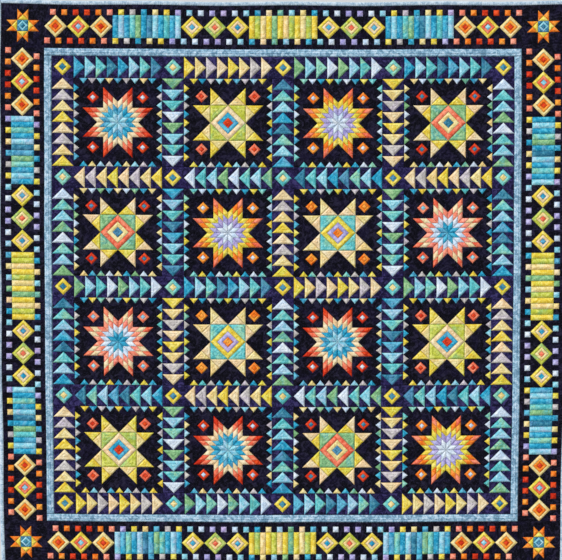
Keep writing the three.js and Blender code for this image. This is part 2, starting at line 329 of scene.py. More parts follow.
def sash_row(row):
    patches = []
    for i in range(BLOCKS + 1):
        outer, inner = ("sea", "straw") if (row + i) % 2 else ("yellow", "teal")
        stone = square_on_point(SASH, [(STONE / math.sqrt(2), outer), (STONE_DOT, inner)], "navy")
        patches += placed(stone, FIRST - PITCH / 2 + i * PITCH)
    for i in range(BLOCKS):
        geese = flying_geese(FLOCKS[(row + i) % len(FLOCKS)])
        patches += placed(geese, FIRST + i * PITCH, quarters=2 * (row % 2))
    return patches


def check_row(cloths):
    corner = -UNIT / 2
    row = []
    for i in range(CHECKS):
        square = box(corner + i * CHECK, corner - CHECK, corner + (i + 1) * CHECK, corner)
        row.append(ground("black", *square) if i % 2 else raised(cloths[i // 2], *square))
    return row


def checks(cloths):
    """The row of checks below a unit of the wide border, and the one above it, half a turn round."""
    return check_row(cloths) + placed(check_row(cloths[::-1]), quarters=2)


def pointed_unit(outer, inner, dot):
    h = UNIT / 2
    rings = [(h, outer), (h * RING_SHARE, inner), (h * UNIT_DOT_SHARE, dot)]
    return square_on_point(UNIT, rings, "black")


def rail_unit(*cloths):
    patches = []
    for i, cloth in enumerate(cloths):
        left = i * CHECK - UNIT / 2
        patches.append(raised(cloth, *box(left, -UNIT / 2, left + CHECK, UNIT / 2)))
    return patches


def wide_border():
    edge = WIDE / 2
    high = UNIT / 2 + CHECK
    patches = []
    for i in range(UNITS):
        x = (i + 0.5) * UNIT - INNER / 2
        group, place = divmod(i, GROUP)
        colours = BORDER_GROUPS[group]
        unit = rail_unit if group % 2 else pointed_unit
        patches += placed(unit(*colours["units"][place]) + checks(colours["checks"][place]), x)
        for low, top in ((high, edge), (-edge, -high)):
            patches.append(ground("black", *box(x - UNIT / 2, low, x + UNIT / 2, top)))
    return patches


def corner_block():
    unit = CORNER_STAR / 3
    near = unit / 2
    far = near + unit
    a = CORNER_STAR / 2
    b = WIDE / 2
    quarter = [
        raised("yellow", (near, -near), (unit, 0), (near, near)),
        raised("orange", (near, -near), (far, -near), (unit, 0)),
        raised("orange", (near, near), (unit, 0), (far, near)),
        ground("black", (far, -near), (far, near), (unit, 0)),
        ground("black", *box(near, near, far, far)),
        ground("black", (a, -a), (b, -b), (b, b), (a, a)),
    ]
    centre = square_on_point(unit, [(near, "aqua"), (near * CORNER_DOT_SHARE, "teal")], "teal")
    centre = [raised("teal", *patch.corners) if patch.group is None else patch for patch in centre]
    return centre + four_times(quarter)


def narrow_border(length):
    return [raised("pale", *box(-length / 2, -NARROW / 2, length / 2, NARROW / 2))]


# Colours of the patchwork, by the names in CLOTHS
FLOCKS = (
    ("turquoise", "aqua", "sea", "teal"),
    ("yellow", "straw", "stone", "cream"),
    ("sage", "aqua", "sea", "ice"),
)
WARM_SQUARES = {
    "units": (("straw", "orange", "red"), ("yellow", "coral", "aqua"), ("straw", "orange", "red")),
    "checks": (("salmon", "orange"), ("red", "red"), ("orange", "salmon")),
}
COOL_SQUARES = {
    "units": (
        ("yellow", "cream", "turquoise"), ("lime", "straw", "coral"),
        ("yellow", "cream", "turquoise"),
    ),
    "checks": (("aqua", "ice"), ("lilac", "lilac"), ("ice", "aqua")),
}
BLUE_RAILS = {
    "units": (
        ("turquoise", "aqua", "turquoise", "sea"), ("sage", "turquoise", "teal", "aqua"),
        ("turquoise", "sea", "turquoise", "aqua"),
    ),
    "checks": (("yellow", "stone"), ("turquoise", "straw"), ("yellow", "lilac")),
}
LIME_RAILS = {
    "units": (
        ("yellow", "lime", "straw", "yellow"), ("sage", "yellow", "straw", "lime"),
        ("yellow", "straw", "lime", "yellow"),
    ),
    "checks": (("turquoise", "cream"), ("sage", "aqua"), ("straw", "turquoise")),
}
BORDER_GROUPS = (WARM_SQUARES, BLUE_RAILS, COOL_SQUARES, LIME_RAILS, COOL_SQUARES, BLUE_RAILS, WARM_SQUARES)
DIAMOND_COLOURS = (
    {
        "rows": ("aqua", "turquoise", "cream", "coral", "red"),
        "ring": "red", "dot": "ice", "teeth": ("turquoise", "straw", "aqua", "stone"),
    },
    {
        "rows": ("ice", "lilac", "yellow", "orange", "coral"),
        "ring": "orange", "dot": "ice", "teeth": ("sea", "yellow", "turquoise", "ice"),
    },
    {
        "rows": ("turquoise", "ice", "salmon", "cream", "coral"),
        "ring": "coral", "dot": "aqua", "teeth": ("turquoise", "stone", "sea", "yellow"),
    },
)
SAWTOOTH_COLOURS = (
    {
        "points": ("yellow", "straw"), "corners": "lime", "accent": "coral", "ring": "cream",
        "inner": "turquoise", "dot": "red", "teeth": ("yellow", "aqua", "stone", "turquoise"),
    },
    {
        "points": ("cream", "yellow"), "corners": "sage", "accent": "red", "ring": "coral",
        "inner": "straw", "dot": "teal", "teeth": ("straw", "turquoise", "sage", "ice"),
    },
    {
        "points": ("straw", "cream"), "corners": "sea", "accent": "orange", "ring": "yellow",
        "inner": "lilac", "dot": "orange", "teeth": ("yellow", "sea", "stone", "turquoise"),
    },
)

# Each cotton print by its darkest, middle and lightest colour and the one it drifts to, in sRGB out of 255
CLOTHS = {
    "black": ((6, 6, 12), (16, 15, 24), (44, 41, 62), (27, 23, 48)),
    "navy": ((15, 13, 34), (31, 28, 60), (68, 62, 112), (42, 34, 82)),
    "pale": ((72, 114, 142), (142, 180, 206), (206, 226, 242), (150, 190, 212)),
    "rim": ((134, 164, 188), (180, 202, 220), (216, 230, 241), (196, 213, 228)),
    "turquoise": ((20, 120, 158), (44, 158, 196), (96, 196, 218), (118, 176, 208)),
    "sea": ((60, 156, 160), (98, 194, 200), (152, 220, 216), (160, 206, 156)),
    "aqua": ((98, 178, 202), (138, 206, 220), (188, 230, 238), (170, 192, 222)),
    "teal": ((32, 92, 124), (54, 126, 154), (92, 158, 176), (96, 150, 190)),
    "yellow": ((212, 174, 40), (234, 208, 78), (248, 232, 136), (208, 208, 72)),
    "straw": ((208, 182, 106), (232, 214, 146), (246, 234, 184), (242, 202, 136)),
    "lime": ((160, 170, 48), (196, 200, 74), (224, 224, 126), (136, 190, 128)),
    "cream": ((210, 180, 130), (234, 212, 166), (246, 232, 200), (246, 204, 156)),
    "sage": ((96, 148, 100), (134, 184, 130), (176, 212, 160), (92, 176, 180)),
    "stone": ((160, 154, 152), (194, 188, 184), (226, 220, 214), (196, 182, 202)),
    "coral": ((210, 74, 50), (234, 106, 78), (248, 150, 116), (248, 158, 124)),
    "salmon": ((226, 112, 86), (242, 146, 118), (252, 186, 160), (236, 120, 112)),
    "orange": ((220, 92, 18), (240, 124, 38), (250, 164, 82), (248, 178, 66)),
    "red": ((168, 32, 18), (210, 54, 30), (236, 88, 56), (236, 84, 34)),
    "lilac": ((136, 130, 192), (172, 168, 216), (206, 202, 236), (186, 160, 200)),
    "ice": ((178, 192, 212), (208, 220, 232), (238, 243, 247), (184, 212, 238)),
    "backing": ((90, 106, 122), (118, 136, 152), (150, 168, 182), (118, 136, 152)),
}


def linear(srgb):
    values = [channel / 255 for channel in srgb]
    return [v / 12.92 if v <= 0.04045 else ((v + 0.055) / 1.055) ** 2.4 for v in values] + [1.0]


class Graph:
    """Short ways to add and join the nodes of one material."""

    def __init__(self, name):
        self.material = bpy.data.materials.new(name)
        self.material.use_nodes = True
        self.nodes = self.material.node_tree.nodes
        self.links = self.material.node_tree.links
        self.nodes.clear()

    def node(self, kind, inputs=(), **settings):
        """A node, with its inputs as numbers, colours or other nodes' sockets."""
        node = self.nodes.new("ShaderNode" + kind)
        for name, value in settings.items():
            setattr(node, name, value)
        for name, value in dict(inputs).items():
            if isinstance(value, bpy.types.NodeSocket):
                self.links.new(value, node.inputs[name])
            else:
                node.inputs[name].default_value = value
        return node

    def math(self, operation, *values):
        return self.node("Math", dict(enumerate(values)), operation=operation).outputs[0]

    def span(self, value, low, high, to_low=0.0, to_high=1.0):
        """A smooth step from one value to another."""
        inputs = {"Value": value, "From Min": low, "From Max": high, "To Min": to_low, "To Max": to_high}
        return self.node("MapRange", inputs, interpolation_type="SMOOTHSTEP").outputs["Result"]

    def mix(self, factor, a, b, blend="MIX"):
        """Two colours mixed. Of the node's sockets, the colours' are 6, 7 and output 2."""
        inputs = {0: factor, 6: a, 7: b}
        return self.node("Mix", inputs, data_type="RGBA", blend_type=blend).outputs[2]

    def noise(self, vector, scale, detail=2.0, distortion=0.0):
        inputs = {"Vector": vector, "Scale": scale, "Detail": detail, "Distortion": distortion}
        return self.node("TexNoise", inputs).outputs["Fac"]

    def attribute(self, name):
        return self.node("Attribute", attribute_name=name).outputs["Fac"]

    def finished(self, surface):
        """The material, with its surface as the inputs of a shader."""
        shader = self.node("BsdfPrincipled", surface)
        output = self.node("OutputMaterial")
        self.links.new(shader.outputs[0], output.inputs[0])
        return self.material


def dyed(g, cut, deep, middle, light, drift):
    """Hand-dyed colour: blotches between the shades, slow drifts, specks, pits and a fine crackle."""
    blotch = g.span(g.noise(cut, scale=62.0, detail=4.0, distortion=1.0), low=0.34, high=0.66)
    drifting = g.noise(cut, scale=17.0, detail=2.0, distortion=0.6)
    body = g.mix(g.span(drifting, low=0.46, high=0.62, to_high=0.85), middle, drift)
    colour = g.mix(g.span(blotch, low=0.0, high=0.55, to_low=0.3), deep, body)
    colour = g.mix(g.span(blotch, low=0.55, high=1.0, to_high=0.7), colour, light)
    speck = g.noise(cut, scale=230.0, detail=3.0, distortion=0.4)
    colour = g.mix(g.span(speck, low=0.54, high=0.72, to_high=0.6), colour, light)
    pit = g.noise(cut, scale=170.0, detail=2.0, distortion=0.2)
    colour = g.mix(g.span(pit, low=0.3, high=0.46, to_low=0.4, to_high=0.0), colour, deep)
    cell = g.node("TexVoronoi", {"Vector": cut, "Scale": 75.0}, feature="DISTANCE_TO_EDGE")
    crackle = g.span(cell.outputs["Distance"], low=0.0, high=0.05, to_low=0.35, to_high=0.0)
    return g.mix(crackle, colour, deep)


def sewn(g, colour, thread, line, row):
    """Painted shade in the seams and along the quilting lines, and dashes of thread along the lines."""
    # painted shade: darker in the grooves of the quilting lines and in the ditches of the seams
    groove = g.span(line, low=0.0, high=0.17, to_low=1.0, to_high=0.0)
    ditch = g.span(g.attribute("seam"), low=0.0, high=DITCH_WIDTH, to_low=1.0, to_high=0.0)
    shade = g.math("MULTIPLY_ADD", groove, -GROOVE_SHADE, 1.0)
    shade = g.math("MULTIPLY", shade, g.math("MULTIPLY_ADD", ditch, -DITCH_SHADE, 1.0))
    grey = g.node("CombineColor", {channel: shade for channel in range(3)}).outputs[0]
    colour = g.mix(1.0, colour, grey, "MULTIPLY")
    dash = g.math("FRACT", g.math("DIVIDE", g.attribute("along"), STITCH))
    dash = g.math("LESS_THAN", dash, STITCH_SHARE)
    dash = g.math("MULTIPLY", dash, g.math("GREATER_THAN", row, 0.5))
    width = g.span(line, low=0.02, high=0.05, to_low=0.55, to_high=0.0)
    return g.mix(g.math("MULTIPLY", dash, width), colour, thread)


def relief(g, place, cut, line):
    """Height: crinkles, a billow between the quilting lines, puckers along them, and a plain weave."""
    crinkle = g.noise(place, scale=115.0, detail=3.0, distortion=0.5)
    crinkle = g.math("MULTIPLY", crinkle, CRINKLE_RELIEF)
    billow = g.math("SINE", g.math("MULTIPLY", line, math.pi))
    billow = g.math("MULTIPLY", billow, BILLOW_RELIEF)
    sway = g.math("MULTIPLY", g.noise(place, scale=45.0), PUCKER_SWAY)
    wave = g.math("SINE", g.math("MULTIPLY_ADD", g.attribute("along"), PUCKER_TURN, sway))
    pucker = g.math("MULTIPLY", wave, g.span(line, low=0.0, high=0.35, to_low=PUCKER_RELIEF, to_high=0.0))
    threads = [
        g.node("TexWave", {"Vector": cut, "Scale": WEAVE}, bands_direction=axis).outputs["Fac"]
        for axis in "XY"
    ]
    weave = g.math("MULTIPLY", g.math("ADD", *threads), WEAVE_RELIEF)
    return g.math("ADD", g.math("ADD", crinkle, billow), g.math("ADD", pucker, weave))


def cotton(name):
    """A hand-dyed cotton print, quilted. Each tone shows another part of the print."""
    deep, middle, light, drift = (linear(colour) for colour in CLOTHS[name])
    g = Graph(f"cotton_{name}")
    row = g.attribute("row")
    line = g.math("PINGPONG", row, 0.5)
    tone = g.attribute("tone")
    place = g.node("TexCoord").outputs["Object"]
    shift = {axis: g.math("MULTIPLY", tone, length) for axis, length in zip("XY", CUT_SHIFT)}
    shift = g.node("CombineXYZ", shift).outputs[0]
    cut = g.node("VectorMath", {0: place, 1: shift}, operation="ADD").outputs[0]
    colour = sewn(g, dyed(g, cut, deep, middle, light, drift), light, line, row)
    bump = {"Height": relief(g, place, cut, line), "Strength": 1.0, "Distance": 1.0}
    surface = {
        "Base Color": colour, "Roughness": 0.86, "Specular IOR Level": 0.05,
        "Normal": g.node("Bump", bump).outputs[0],
    }
    return g.finished(surface)


def ripple(along, phase):
    return RIPPLE * np.sin(2 * np.pi * along / RIPPLE_PITCH + phase)


def lie(x, y):
    """Where a point of the flat pattern lies on the uneven quilt."""
    u = x / HALF
    v = y / HALF
    side_phase = np.where(u > 0, RIPPLE_PHASES["right"], RIPPLE_PHASES["left"])
    end_phase = np.where(v > 0, RIPPLE_PHASES["top"], RIPPLE_PHASES["bottom"])
    out_x = x + BOW * u * (1 - v * v) + ripple(y, side_phase) * np.abs(u) ** RIM_POWER
    out_y = y + SAG * (u * u - 0.5) + ripple(x, end_phase) * np.abs(v) ** RIM_POWER
    return out_x, out_y


def crinkled(x, y):
    """Fine unevenness that runs on from piece to piece, from waves that cross at odd angles."""
    height = np.zeros_like(x)
    for number, (length, weight) in enumerate(CRINKLE_WAVES):
        angle = CRINKLE_START + CRINKLE_TURN * number
        across = x * math.cos(angle) + y * math.sin(angle)
        along = y * math.cos(angle) - x * math.sin(angle)
        bend = CRINKLE_BEND * length * np.sin(2 * np.pi * along / (CRINKLE_BEND_PITCH * length) + number)
        height += weight * np.sin(2 * np.pi * (across + bend) / length)
    return CRINKLE * height


def inward(points, corners):
    """How far each point lies inside a convex polygon: less than 0 where it is outside."""
    result = np.full(len(points), np.inf)
    for (x0, y0), (x1, y1) in zip(corners, corners[1:] + corners[:1]):
        length = math.hypot(x1 - x0, y1 - y0)
        side = ((x1 - x0) * (points[:, 1] - y0) - (y1 - y0) * (points[:, 0] - x0)) / length
        result = np.minimum(result, side)
    return result


def spot(point):
    """A key that is the same for points at the same place."""
    return tuple(round(value, 2) for value in point)


def seam_spans(patches):
    """The corners of all patches, and each stretch of seam between two of them with the sides that it is
    part of, as pairs of a patch's number and a side's."""
    known = {}
    for patch in patches:
        for corner in patch.corners:
            known.setdefault(spot(corner), corner)
    number = {key: i for i, key in enumerate(known)}
    corners = np.array(list(known.values()))
    spans = {}
    for index, patch in enumerate(patches):
        for side, (start, end) in enumerate(zip(patch.corners, patch.corners[1:] + patch.corners[:1])):
            direction = np.subtract(end, start)
            length = np.hypot(*direction)
            direction = direction / length
            offset = corners - start
            along = offset @ direction
            off = np.abs(offset @ (-direction[1], direction[0]))
            inside = np.flatnonzero((off < SAME) & (along > SAME) & (along < length - SAME))
            inside = inside[np.argsort(along[inside])]
            stops = [number[spot(start)], *inside, number[spot(end)]]
            for a, b in zip(stops, stops[1:]):
                spans.setdefault((min(a, b), max(a, b)), []).append((index, side))
    return corners, spans


def uncut_sides(patches, spans):
    """The sides, as in seam_spans, where a patch runs on into another one of its region."""
    uncut = set()
    for sides in spans.values():
        regions = [patches[index].region for index, _ in sides]
        if len(sides) > len(set(regions)):
            uncut.update(sides)
    return uncut


def inner_round(corners, depths):
    """The stretches inside a convex patch that lie at a given depth from each side, or None where there is
    none left."""
    corners = np.array(corners)
    along = np.roll(corners, -1, axis=0) - corners
    along /= np.hypot(*along.T)[:, None]
    inner = np.column_stack([-along[:, 1], along[:, 0]])
    stretches = []
    for corner, direction, normal, depth in zip(corners, along, inner, depths):
        start = corner + depth * normal
        room = ((start - corners) * inner).sum(1) - depths
        slope = inner @ direction
        rising = slope > LEVEL
        falling = slope < -LEVEL
        level = ~(rising | falling)
        low = (-room[rising] / slope[rising]).max()
        high = (-room[falling] / slope[falling]).min()
        if room[level].min() < -SLACK or low > high + SLACK:
            stretches.append(None)
        else:
            stretches.append((start + low * direction, start + max(low, high) * direction))
    return stretches


known_depths = {}


def deepest(corners, cut):
    """How far the middle of a convex patch lies inside its cut sides. Like patches are searched once."""
    shape = np.round(np.subtract(corners, corners[0]), 2)
    key = (tuple(shape.ravel()), tuple(cut))
    if key not in known_depths:
        low, high = 0.0, DEEPEST
        while high - low > SEARCHED:
            middle = (low + high) / 2
            if any(inner_round(corners, np.where(cut, middle, 0.0))):
                low = middle
            else:
                high = middle
        known_depths[key] = low
    return known_depths[key]


def cells_between(start, end):
    return max(1, round(float(np.hypot(*(end - start))) / CELL))


def rounds(corners, cut):
    """Mesh points in rounds inside the cut sides of a patch, and the creases from its corners inwards."""
    deep = deepest(corners, cut)
    steps = max(1, round((deep - FIRST_ROUND) / ROUND_STEP))
    points = []
    creases = []
    tips = dict(enumerate(corners))
    for depth in np.linspace(min(FIRST_ROUND, deep / 2), deep, steps + 1):
        stretches = inner_round(corners, np.where(cut, depth, UNCUT_ROOM))
        for side, stretch in enumerate(stretches):
            if not cut[side] or stretch is None:
                continue
            start, end = stretch
            points += [tuple(point) for point in np.linspace(start, end, cells_between(start, end) + 1)]
            before = stretches[side - 1]
            if cut[side - 1] and before is not None and np.hypot(*(before[1] - start)) < SAME:
                creases.append((tips[side], tuple(start)))
                tips[side] = tuple(start)
    return points, creases


def triangulated(points, edges):
    """The points of a mesh, its counterclockwise triangles, and each point's place in the given list."""
    found = delaunay_2d_cdt([Vector(point) for point in points], edges, [], 0, MERGED, True)
    flat = np.array([tuple(vector) for vector in found[0]])
    triangles = np.array([face for face in found[2] if len(face) == 3])
    a, b, c = (flat[triangles[:, i]] for i in range(3))
    area = (b[:, 0] - a[:, 0]) * (c[:, 1] - a[:, 1]) - (b[:, 1] - a[:, 1]) * (c[:, 0] - a[:, 0])
    triangles[area < 0] = triangles[area < 0][:, ::-1]
    source = np.array([min(sources) for sources in found[3]])
    return flat, triangles[np.abs(area) > SLIVER], source


def seam_points(corners, spans):
    """Points along every seam, the patches' corners first, and the mesh edges that join them."""
    points = [tuple(corner) for corner in corners]
    edges = []
    for a, b in spans:
        count = cells_between(corners[a], corners[b])
        steps = [tuple(corners[a] + (corners[b] - corners[a]) * i / count) for i in range(1, count)]
        chain = [a, *range(len(points), len(points) + len(steps)), b]
        points += steps
        edges += zip(chain, chain[1:])
    return points, edges


def add_rounds(patches, spans, points, edges):
    """Add the rounds and creases of the raised patches to the points and edges of a mesh."""
    uncut = uncut_sides(patches, spans)
    places = {spot(point): i for i, point in enumerate(points)}

    def known(point):
        key = spot(point)
        if key not in places:
            places[key] = len(points)
            points.append(tuple(point))
        return places[key]

    for index, patch in enumerate(patches):
        if patch.group is not None:
            cut = np.array([(index, side) not in uncut for side in range(len(patch.corners))])
            inside, creases = rounds(patch.corners, cut)
            for point in inside:
                known(point)
            edges += [(known(start), known(end)) for start, end in creases]


def ground_points(patches, wide, deep):
    """The points of even triangles on the ground, where they are clear of the seams."""
    points = []
    row_height = CELL * math.sqrt(3) / 2
    rows = np.arange(-deep / 2 + row_height, deep / 2 - row_height / 2, row_height)
    for number, y in enumerate(rows):
        start = -wide / 2 + CELL * (1 + 0.5 * (number % 2))
        x = np.arange(start, wide / 2 - CELL / 2, CELL)
        line = np.column_stack([x, np.full(len(x), y)])
        keep = np.zeros(len(x), bool)
        for patch in patches:
            heights = [corner[1] for corner in patch.corners]
            if patch.group is None and min(heights) < y < max(heights):
                keep |= inward(line, patch.corners) > GROUND_ROOM
        points += [tuple(point) for point in line[keep]]
    return points


@dataclass
class Plan:
    """A flat mesh of patches: its points, its triangles and the number of each one's patch, the corners of
    the patches and the seams between them."""

    points: np.ndarray
    triangles: np.ndarray
    patch: np.ndarray
    corners: np.ndarray
    spans: dict


def mesh_plan(patches, wide, deep):
    """A mesh whose edges follow the seams, in rounds inside the raised patches and even on the ground."""
    corners, spans = seam_spans(patches)
    points, edges = seam_points(corners, spans)
    on_seams = len(points)
    add_rounds(patches, spans, points, edges)
    points += ground_points(patches, wide, deep)

    # A triangle with all its corners on seams gets a point in its middle, which can rise
    flat, triangles, source = triangulated(points, edges)
    stuck = triangles[(source < on_seams)[triangles].all(axis=1)]
    points += [tuple(point) for point in flat[stuck].mean(axis=1)]
    flat, triangles, _ = triangulated(points, edges)

    middle = flat[triangles].mean(axis=1)
    owner = np.full(len(triangles), -1)
    for index, patch in enumerate(patches):
        shape = np.array(patch.corners)
        near = np.flatnonzero(np.all((middle > shape.min(0)) & (middle < shape.max(0)), axis=1))
        owner[near[inward(middle[near], patch.corners) > 0]] = index
    return Plan(flat, triangles, owner, corners, spans)


def nearest_seam(points, segments):
    """Each point's distance to the nearest of some straight seams, and the number of that seam."""
    start = segments[:, 0]
    direction = segments[:, 1] - start
    length = np.hypot(direction[:, 0], direction[:, 1])
    direction = direction / length[:, None]
    offset = points[:, None] - start[None]
    along = np.clip((offset * direction).sum(2), 0, length)
    distance = np.hypot(*np.moveaxis(offset - along[..., None] * direction, 2, 0))
    best = distance.argmin(1)
    return distance[np.arange(len(points)), best], best


def along_seams(corners, segments):
    """The places of each triangle's corners along the seam that is nearest to the triangle's middle."""
    _, nearest = nearest_seam(corners.mean(axis=1), segments)
    direction = segments[:, 1] - segments[:, 0]
    backward = direction @ FORWARD < 0
    direction = np.where(backward[:, None], -direction, direction)
    direction /= np.hypot(*direction.T)[:, None]
    return (corners * direction[nearest][:, None]).sum(axis=2)


def outlines(plan, keys):
    """The straight stretches round the patches of each key, and the number of each triangle's key."""
    round_key = {}
    for (a, b), sides in plan.spans.items():
        touching = [keys[index] for index, _ in sides]
        for key in set(touching):
            if touching.count(key) == 1:
                round_key.setdefault(key, []).append((plan.corners[a], plan.corners[b]))
    order = list(round_key)
    number = np.array([order.index(key) for key in keys])[plan.patch]
    return {key: np.array(segments) for key, segments in round_key.items()}, number


def pillow(distance):
    return 1 - (1 - np.clip(distance / PILLOW, 0, 1)) ** 2


def echo_spacing(start, segments):
    """What lies between the quilting lines inside some seams, so that the last one stays half of that clear
    of the middle. The search for the middle sets out from a point near it."""
    compass = np.array(list(itertools.product((-1, 0, 1), repeat=2)))
    for step in MIDDLE_STEPS:
        around = start + step * compass
        distance, _ = nearest_seam(around, segments)
        start = around[distance.argmax()]
    lines = max(0, round(distance.max() / ECHO - 0.5))
    return distance.max() / (lines + 0.5)


def piece_number(name, quarters, centre):
    """A number for a piece, from which the tones of its grounds follow."""
    return len(name) + 7 * quarters + int(abs(centre[0] + 3 * centre[1]))


def tone_of(region, number):
    """A number from 0 to 1 that says from which part of the cloth a region was cut."""
    seed = region if isinstance(region, int) else number + sum(map(ord, region))
    return seed * GOLDEN % 1


def sewing(plan, region_lines, region_number, number):
    """What the materials read at the triangles' corners: distance to the seam, the same in quilting lines,
    place along the seam, and tone. Then each point's distance to its seam."""
    fields = {label: np.zeros(plan.triangles.shape) for label in ("seam", "row", "along", "tone")}
    nearest = np.full(len(plan.points), np.inf)
    for index, (region, segments) in enumerate(region_lines.items()):
        mine = region_number == index
        used, back = np.unique(plan.triangles[mine], return_inverse=True)
        distance, _ = nearest_seam(plan.points[used], segments)
        seam = distance[back].reshape(-1, 3)
        fields["seam"][mine] = seam
        fields["row"][mine] = seam / echo_spacing(plan.points[used[distance.argmax()]], segments)
        fields["along"][mine] = along_seams(plan.points[plan.triangles[mine]], segments)
        fields["tone"][mine] = tone_of(region, number)
        nearest[used] = np.minimum(nearest[used], distance)
    return fields, nearest


def sew_across(plan, patches, wide, fields):
    """Wavy quilting lines across a border's ground, in place of those that echo its seams."""
    is_ground = np.array([patch.group is None for patch in patches])[plan.patch]
    x, y = np.moveaxis(plan.points[plan.triangles], 2, 0)
    sway = ACROSS_SWAY * np.sin(2 * np.pi * y / ACROSS_PITCH + x / ACROSS_SHIFT)
    fields["row"] = np.where(is_ground[:, None], (x + wide + sway) / ACROSS, fields["row"])
    fields["along"] = np.where(is_ground[:, None], y, fields["along"])


def puffs(plan, patches, nearest):
    """How far each point rises: a group puffs up, less at the seams inside it, and the ground a little."""
    rise = np.zeros(len(plan.points))
    group_lines, group_number = outlines(plan, [patch.group for patch in patches])
    for index, (group, segments) in enumerate(group_lines.items()):
        used = np.unique(plan.triangles[group_number == index])
        if group is None:
            lift = GROUND_RISE * pillow(nearest[used])
        else:
            distance, _ = nearest_seam(plan.points[used], segments)
            dip = DIP * (1 - np.clip(nearest[used] / DIP_WIDTH, 0, 1)) ** 2
            lift = pillow(distance) * (PUFF - FLAT + FULLNESS - dip)
        rise[used] = np.maximum(rise[used], lift)
    return rise


def quilted(name, patches, wide, deep, centre, quarters=0, lines="echo"):
    """One closed piece of quilted patchwork."""
    plan = mesh_plan(patches, wide, deep)
    region_lines, region_number = outlines(plan, [patch.region for patch in patches])
    fields, nearest = sewing(plan, region_lines, region_number, piece_number(name, quarters, centre))
    if lines == "across":
        sew_across(plan, patches, wide, fields)
    rise = puffs(plan, patches, nearest)
    shrink = np.array([(wide - SEAM_GAP) / wide, (deep - SEAM_GAP) / deep])
    x, y = turn((plan.points * shrink).T, quarters)
    laid_x, laid_y = lie(x + centre[0], y + centre[1])
    z = FLAT + rise + crinkled(laid_x, laid_y) * np.clip(rise, LEAST_CRINKLE, 1)
    top = np.column_stack([laid_x, laid_y, z])
    cloths = [patch.cloth for patch in patches]
    dress(name, closed_cloth(name, cloths, top, plan, region_number, fields))


def edge_keys(edges, count):
    return edges.min(1) * count + edges.max(1)


def rim_and_seams(triangles, region_number, count):
    """The edges that only one triangle has, and the keys of those between two regions."""
    edges = triangles[:, [0, 1, 1, 2, 2, 0]].reshape(-1, 2)
    keys = edge_keys(edges, count)
    order = np.argsort(keys, kind="stable")
    _, first, times = np.unique(keys[order], return_index=True, return_counts=True)
    region = np.repeat(region_number, 3)[order]
    pairs = first[times == 2]
    seams = keys[order][pairs[region[pairs] != region[pairs + 1]]]
    return edges[order[first[times == 1]]], seams


def write_fields(mesh, fields):
    """What the materials read at the face corners. Corners left over are on the walls and the back."""
    for label, values in fields.items():
        padding = np.full(len(mesh.loops) - values.size, BACK_FIELD)
        attribute = mesh.attributes.new(label, "FLOAT", "CORNER")
        attribute.data.foreach_set("value", np.concatenate([values.ravel(), padding]).astype(np.float32))


def closed_cloth(name, patch_cloths, top, plan, region_number, fields):
    """The puffed face, its short walls and its flat back as one mesh, with what the materials read."""
    count = len(top)
    rim, seams = rim_and_seams(plan.triangles, region_number, count)
    follow = dict(rim.tolist())
    start = rim[0, 0]
    ring = [start]
    while follow[ring[-1]] != start:
        ring.append(follow[ring[-1]])
    low = {vertex: count + i for i, vertex in enumerate(ring)}
    walls = [(b, a, low[a], low[b]) for a, b in zip(ring, ring[1:] + ring[:1])]
    back = [low[vertex] for vertex in reversed(ring)]

    mesh = bpy.data.meshes.new(name)
    vertices = np.vstack([top, top[ring] * (1, 1, 0)]) * MM
    mesh.from_pydata(vertices.tolist(), [], [*plan.triangles.tolist(), *walls, back])
    cloths = sorted(set(patch_cloths)) + ["backing"]
    for cloth in cloths:
        mesh.materials.append(MATERIALS[cloth])
    face_cloths = np.array([cloths.index(cloth) for cloth in patch_cloths])[plan.patch]
    indices = np.concatenate([face_cloths, np.full(len(walls) + 1, cloths.index("backing"))])
    mesh.polygons.foreach_set("material_index", indices.astype(np.int32))
    mesh.polygons.foreach_set("use_smooth", np.arange(len(indices)) < len(plan.triangles))
    write_fields(mesh, fields)
    ends = np.empty(2 * len(mesh.edges), np.int32)
    mesh.edges.foreach_get("vertices", ends)
    ends = ends.reshape(-1, 2).astype(np.int64)
    sharp = np.isin(edge_keys(ends, count), seams) & (ends.max(1) < count)
    mesh.attributes.new("sharp_edge", "BOOLEAN", "EDGE").data.foreach_set("value", sharp)
    mesh.update()
    return mesh


def linked(name, data):
    thing = bpy.data.objects.new(name, data)
    bpy.context.scene.collection.objects.link(thing)
    return thing


def dress(name, mesh):
    """Put a mesh in place of the CAD node of the same name."""
    piece = linked(f"quilt_{name}", mesh)
    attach(piece, "root")
    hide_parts(name)


def binding_section():
    """Round the folded strip from its seam: how far out, how high, and the place across the strip."""
    inside = OUTER / 2 + SEAM_GAP / 2
    radius = BINDING_THICK / 2
    bend = HALF - radius
    section = [(inside + out, FLAT + up, place) for out, up, place in BINDING_RISE]
    section.append((bend - BINDING_TOP, BINDING_THICK, BINDING_ARC_PLACE - BINDING_TOP))
    for i in range(BINDING_ARC + 1):
        angle = math.pi / 2 - i * math.pi / BINDING_ARC
        height = radius + radius * math.sin(angle)
        section.append((bend + radius * math.cos(angle), height, BINDING_ARC_PLACE + i))
    section.append((inside, 0.0, BINDING_ARC_PLACE + BINDING_ARC + 1))
    return np.array(section)


def puckered(along):
    """Uneven waves along a sewn strip."""
    return sum(
        weight * np.sin(along / length + uneven * np.sin(along / slow))
        for length, uneven, slow, weight in PUCKER_WAVES
    )


